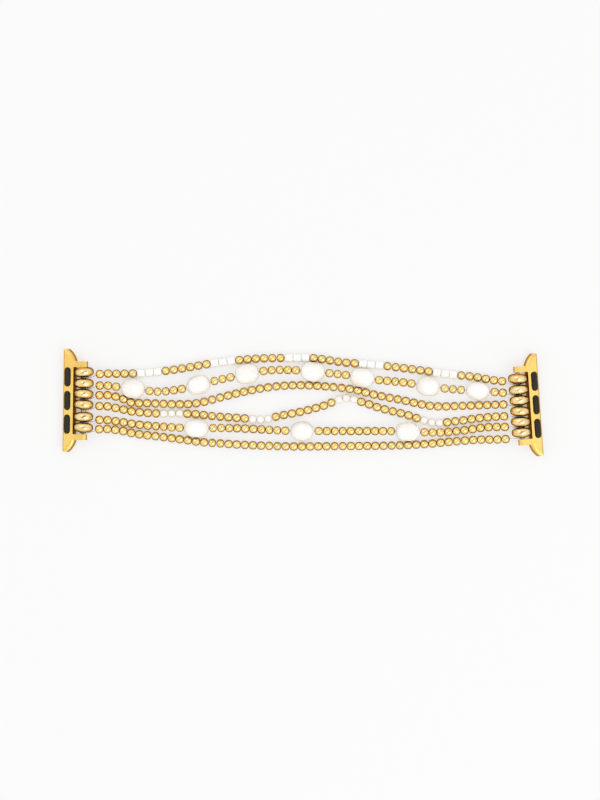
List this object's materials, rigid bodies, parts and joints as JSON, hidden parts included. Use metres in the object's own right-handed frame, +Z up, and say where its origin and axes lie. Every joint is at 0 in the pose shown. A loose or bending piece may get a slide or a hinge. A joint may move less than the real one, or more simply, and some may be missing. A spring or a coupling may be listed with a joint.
{
  "type": "watch strap",
  "caption": "Stretch watch strap of beaded elastic strands between two slide-in lugs with spring bars and spacer rings.",
  "frame": {"origin": "centre of the bounding box at the level of the table", "axes": "+X along the strap, +Y across it, +Z up, out of the side that meets the wrist and the watch"},
  "size_m": [0.1476, 0.033, 0.006],
  "materials": {
    "polished_gold": "polished warm gold plating",
    "ring_gold": "polished gold plating",
    "satin_gold": "satin gold plating",
    "white_shell": "glossy creamy white",
    "pearl": "pearly white, soft gloss",
    "seed_pearl": "pearly white with a slight pink",
    "clear_elastic": "clear elastic",
    "black_rubber": "matte black",
    "bar_steel": "plain steel",
    "spring_steel": "spring wire"
  },
  "bodies": {
    "strap_1": {"gold_beads_1": "polished_gold", "white_barrel_beads_1": "white_shell", "large_pearls_1": "pearl", "bar_barrel_left": "bar_steel", "bar_spring_left": "spring_steel"},
    "strap_2": {"gold_beads_2": "polished_gold", "white_barrel_beads_2": "white_shell", "large_pearls_2": "pearl", "seed_pearls_2": "seed_pearl"},
    "strap_3": {"gold_beads_3": "polished_gold", "white_barrel_beads_3": "white_shell", "large_pearls_3": "pearl", "seed_pearls_3": "seed_pearl"},
    "strap_4": {"gold_beads_4": "polished_gold", "white_barrel_beads_4": "white_shell", "large_pearls_4": "pearl", "elastic_loop_1": "clear_elastic", "elastic_loop_2": "clear_elastic", "elastic_loop_3": "clear_elastic", "elastic_loop_4": "clear_elastic", "elastic_loop_5": "clear_elastic", "elastic_loop_6": "clear_elastic"},
    "strap_5": {"gold_beads_5": "polished_gold", "white_barrel_beads_5": "white_shell", "large_pearls_5": "pearl", "seed_pearls_5": "seed_pearl"},
    "strap_6": {"gold_beads_6": "polished_gold", "white_barrel_beads_6": "white_shell", "large_pearls_6": "pearl", "seed_pearls_6": "seed_pearl"},
    "strap_7": {"gold_beads_7": "polished_gold", "large_pearls_7": "pearl", "bar_barrel_right": "bar_steel", "bar_spring_right": "spring_steel"},
    "lug_left": {"lug_left": "satin_gold", "rubber_pads_left": "black_rubber", "detent_spring_left": "spring_steel"},
    "detent_left": {"detent_pad_left": "black_rubber"},
    "bar_pin_left_top": {"bar_pin_left_top": "bar_steel"},
    "bar_pin_left_bottom": {"bar_pin_left_bottom": "bar_steel"},
    "spacer_ring_left_1": {"spacer_ring_left_1": "ring_gold"},
    "spacer_ring_left_2": {"spacer_ring_left_2": "ring_gold"},
    "spacer_ring_left_3": {"spacer_ring_left_3": "ring_gold"},
    "spacer_ring_left_4": {"spacer_ring_left_4": "ring_gold"},
    "spacer_ring_left_5": {"spacer_ring_left_5": "ring_gold"},
    "spacer_ring_left_6": {"spacer_ring_left_6": "ring_gold"},
    "lug_right": {"lug_right": "satin_gold", "rubber_pads_right": "black_rubber", "detent_spring_right": "spring_steel"},
    "detent_right": {"detent_pad_right": "black_rubber"},
    "bar_pin_right_top": {"bar_pin_right_top": "bar_steel"},
    "bar_pin_right_bottom": {"bar_pin_right_bottom": "bar_steel"},
    "spacer_ring_right_1": {"spacer_ring_right_1": "ring_gold"},
    "spacer_ring_right_2": {"spacer_ring_right_2": "ring_gold"},
    "spacer_ring_right_3": {"spacer_ring_right_3": "ring_gold"},
    "spacer_ring_right_4": {"spacer_ring_right_4": "ring_gold"},
    "spacer_ring_right_5": {"spacer_ring_right_5": "ring_gold"},
    "spacer_ring_right_6": {"spacer_ring_right_6": "ring_gold"}
  },
  "joints": [
    {"name": "bend_1", "type": "hinge", "parent": "strap_2", "child": "strap_1", "pos_m": [-0.04377, 0, 0.003], "axis": [0, 1, 0], "range_deg": [0, 30], "deforming": ["elastic_loop_1", "elastic_loop_2", "elastic_loop_3", "elastic_loop_4", "elastic_loop_5", "elastic_loop_6"]},
    {"name": "bend_2", "type": "hinge", "parent": "strap_3", "child": "strap_2", "pos_m": [-0.02611, 0, 0.003], "axis": [0, 1, 0], "range_deg": [0, 30], "deforming": ["elastic_loop_1", "elastic_loop_2", "elastic_loop_3", "elastic_loop_4", "elastic_loop_5", "elastic_loop_6"]},
    {"name": "bend_3", "type": "hinge", "parent": "strap_4", "child": "strap_3", "pos_m": [-0.00846, 0, 0.003], "axis": [0, 1, 0], "range_deg": [0, 30], "deforming": ["elastic_loop_1", "elastic_loop_2", "elastic_loop_3", "elastic_loop_4", "elastic_loop_5", "elastic_loop_6"]},
    {"name": "bend_4", "type": "hinge", "parent": "strap_4", "child": "strap_5", "pos_m": [0.01067, 0, 0.003], "axis": [0, -1, 0], "range_deg": [0, 30], "deforming": ["elastic_loop_1", "elastic_loop_2", "elastic_loop_3", "elastic_loop_4", "elastic_loop_5", "elastic_loop_6"]},
    {"name": "bend_5", "type": "hinge", "parent": "strap_5", "child": "strap_6", "pos_m": [0.02792, 0, 0.003], "axis": [0, -1, 0], "range_deg": [0, 30], "deforming": ["elastic_loop_1", "elastic_loop_2", "elastic_loop_3", "elastic_loop_4", "elastic_loop_5", "elastic_loop_6"]},
    {"name": "bend_6", "type": "hinge", "parent": "strap_6", "child": "strap_7", "pos_m": [0.04718, 0, 0.003], "axis": [0, -1, 0], "range_deg": [0, 30], "deforming": ["elastic_loop_1", "elastic_loop_2", "elastic_loop_3", "elastic_loop_4", "elastic_loop_5", "elastic_loop_6"]},
    {"name": "lug_swing_left", "type": "hinge", "parent": "strap_1", "child": "lug_left", "pos_m": [-0.06731, 0.00058, 0.003], "axis": [0.014, 0.9999, 0], "range_deg": [-60, 110]},
    {"name": "detent_press_left", "type": "slide", "parent": "lug_left", "child": "detent_left", "axis": [0.2535, -0.0035, -0.9673], "range_m": [0, 0.0005], "stiffness_N_per_m": 800, "springref_m": -0.0003, "deforming": ["detent_spring_left"]},
    {"name": "pin_press_left_top", "type": "slide", "parent": "strap_1", "child": "bar_pin_left_top", "axis": [-0.014, -0.9999, 0], "range_m": [0, 0.0015], "stiffness_N_per_m": 400, "springref_m": -0.0005, "deforming": ["bar_spring_left"]},
    {"name": "pin_press_left_bottom", "type": "slide", "parent": "strap_1", "child": "bar_pin_left_bottom", "axis": [0.014, 0.9999, 0], "range_m": [0, 0.0015], "stiffness_N_per_m": 400, "springref_m": -0.0005, "deforming": ["bar_spring_left"]},
    {"name": "ring_spin_left_1", "type": "hinge", "parent": "strap_1", "child": "spacer_ring_left_1", "pos_m": [-0.06718, 0.00933, 0.003], "axis": [-0.0906, 0.9959, 0], "continuous": true},
    {"name": "ring_spin_left_2", "type": "hinge", "parent": "strap_1", "child": "spacer_ring_left_2", "pos_m": [-0.06723, 0.00593, 0.003], "axis": [0.014, 0.9999, 0], "continuous": true},
    {"name": "ring_spin_left_3", "type": "hinge", "parent": "strap_1", "child": "spacer_ring_left_3", "pos_m": [-0.06728, 0.00268, 0.003], "axis": [0.0663, 0.9978, 0], "continuous": true},
    {"name": "ring_spin_left_4", "type": "hinge", "parent": "strap_1", "child": "spacer_ring_left_4", "pos_m": [-0.06732, -0.00057, 0.003], "axis": [0.0663, 0.9978, 0], "continuous": true},
    {"name": "ring_spin_left_5", "type": "hinge", "parent": "strap_1", "child": "spacer_ring_left_5", "pos_m": [-0.06738, -0.00437, 0.003], "axis": [0.014, 0.9999, 0], "continuous": true},
    {"name": "ring_spin_left_6", "type": "hinge", "parent": "strap_1", "child": "spacer_ring_left_6", "pos_m": [-0.06742, -0.00762, 0.003], "axis": [0.0663, 0.9978, 0], "continuous": true},
    {"name": "lug_swing_right", "type": "hinge", "parent": "strap_7", "child": "lug_right", "pos_m": [0.06644, -0.00102, 0.003], "axis": [0.0698, -0.9976, 0], "range_deg": [-60, 110]},
    {"name": "detent_press_right", "type": "slide", "parent": "lug_right", "child": "detent_right", "axis": [-0.253, -0.0177, -0.9673], "range_m": [0, 0.0005], "stiffness_N_per_m": 800, "springref_m": -0.0003, "deforming": ["detent_spring_right"]},
    {"name": "pin_press_right_top", "type": "slide", "parent": "strap_7", "child": "bar_pin_right_top", "axis": [0.0698, -0.9976, 0], "range_m": [0, 0.0015], "stiffness_N_per_m": 400, "springref_m": -0.0005, "deforming": ["bar_spring_right"]},
    {"name": "pin_press_right_bottom", "type": "slide", "parent": "strap_7", "child": "bar_pin_right_bottom", "axis": [-0.0698, 0.9976, 0], "range_m": [0, 0.0015], "stiffness_N_per_m": 400, "springref_m": -0.0005, "deforming": ["bar_spring_right"]},
    {"name": "ring_spin_right_1", "type": "hinge", "parent": "strap_7", "child": "spacer_ring_right_1", "pos_m": [0.06586, 0.00731, 0.003], "axis": [0.0349, 0.9994, 0], "continuous": true},
    {"name": "ring_spin_right_2", "type": "hinge", "parent": "strap_7", "child": "spacer_ring_right_2", "pos_m": [0.06609, 0.00392, 0.003], "axis": [-0.0872, 0.9962, 0], "continuous": true},
    {"name": "ring_spin_right_3", "type": "hinge", "parent": "strap_7", "child": "spacer_ring_right_3", "pos_m": [0.06632, 0.00067, 0.003], "axis": [-0.0698, 0.9976, 0], "continuous": true},
    {"name": "ring_spin_right_4", "type": "hinge", "parent": "strap_7", "child": "spacer_ring_right_4", "pos_m": [0.06655, -0.00267, 0.003], "axis": [0.0175, 0.9998, 0], "continuous": true},
    {"name": "ring_spin_right_5", "type": "hinge", "parent": "strap_7", "child": "spacer_ring_right_5", "pos_m": [0.06678, -0.00591, 0.003], "axis": [0, 1, 0], "continuous": true},
    {"name": "ring_spin_right_6", "type": "hinge", "parent": "strap_7", "child": "spacer_ring_right_6", "pos_m": [0.06701, -0.00915, 0.003], "axis": [-0.0698, 0.9976, 0], "continuous": true}
  ]
}
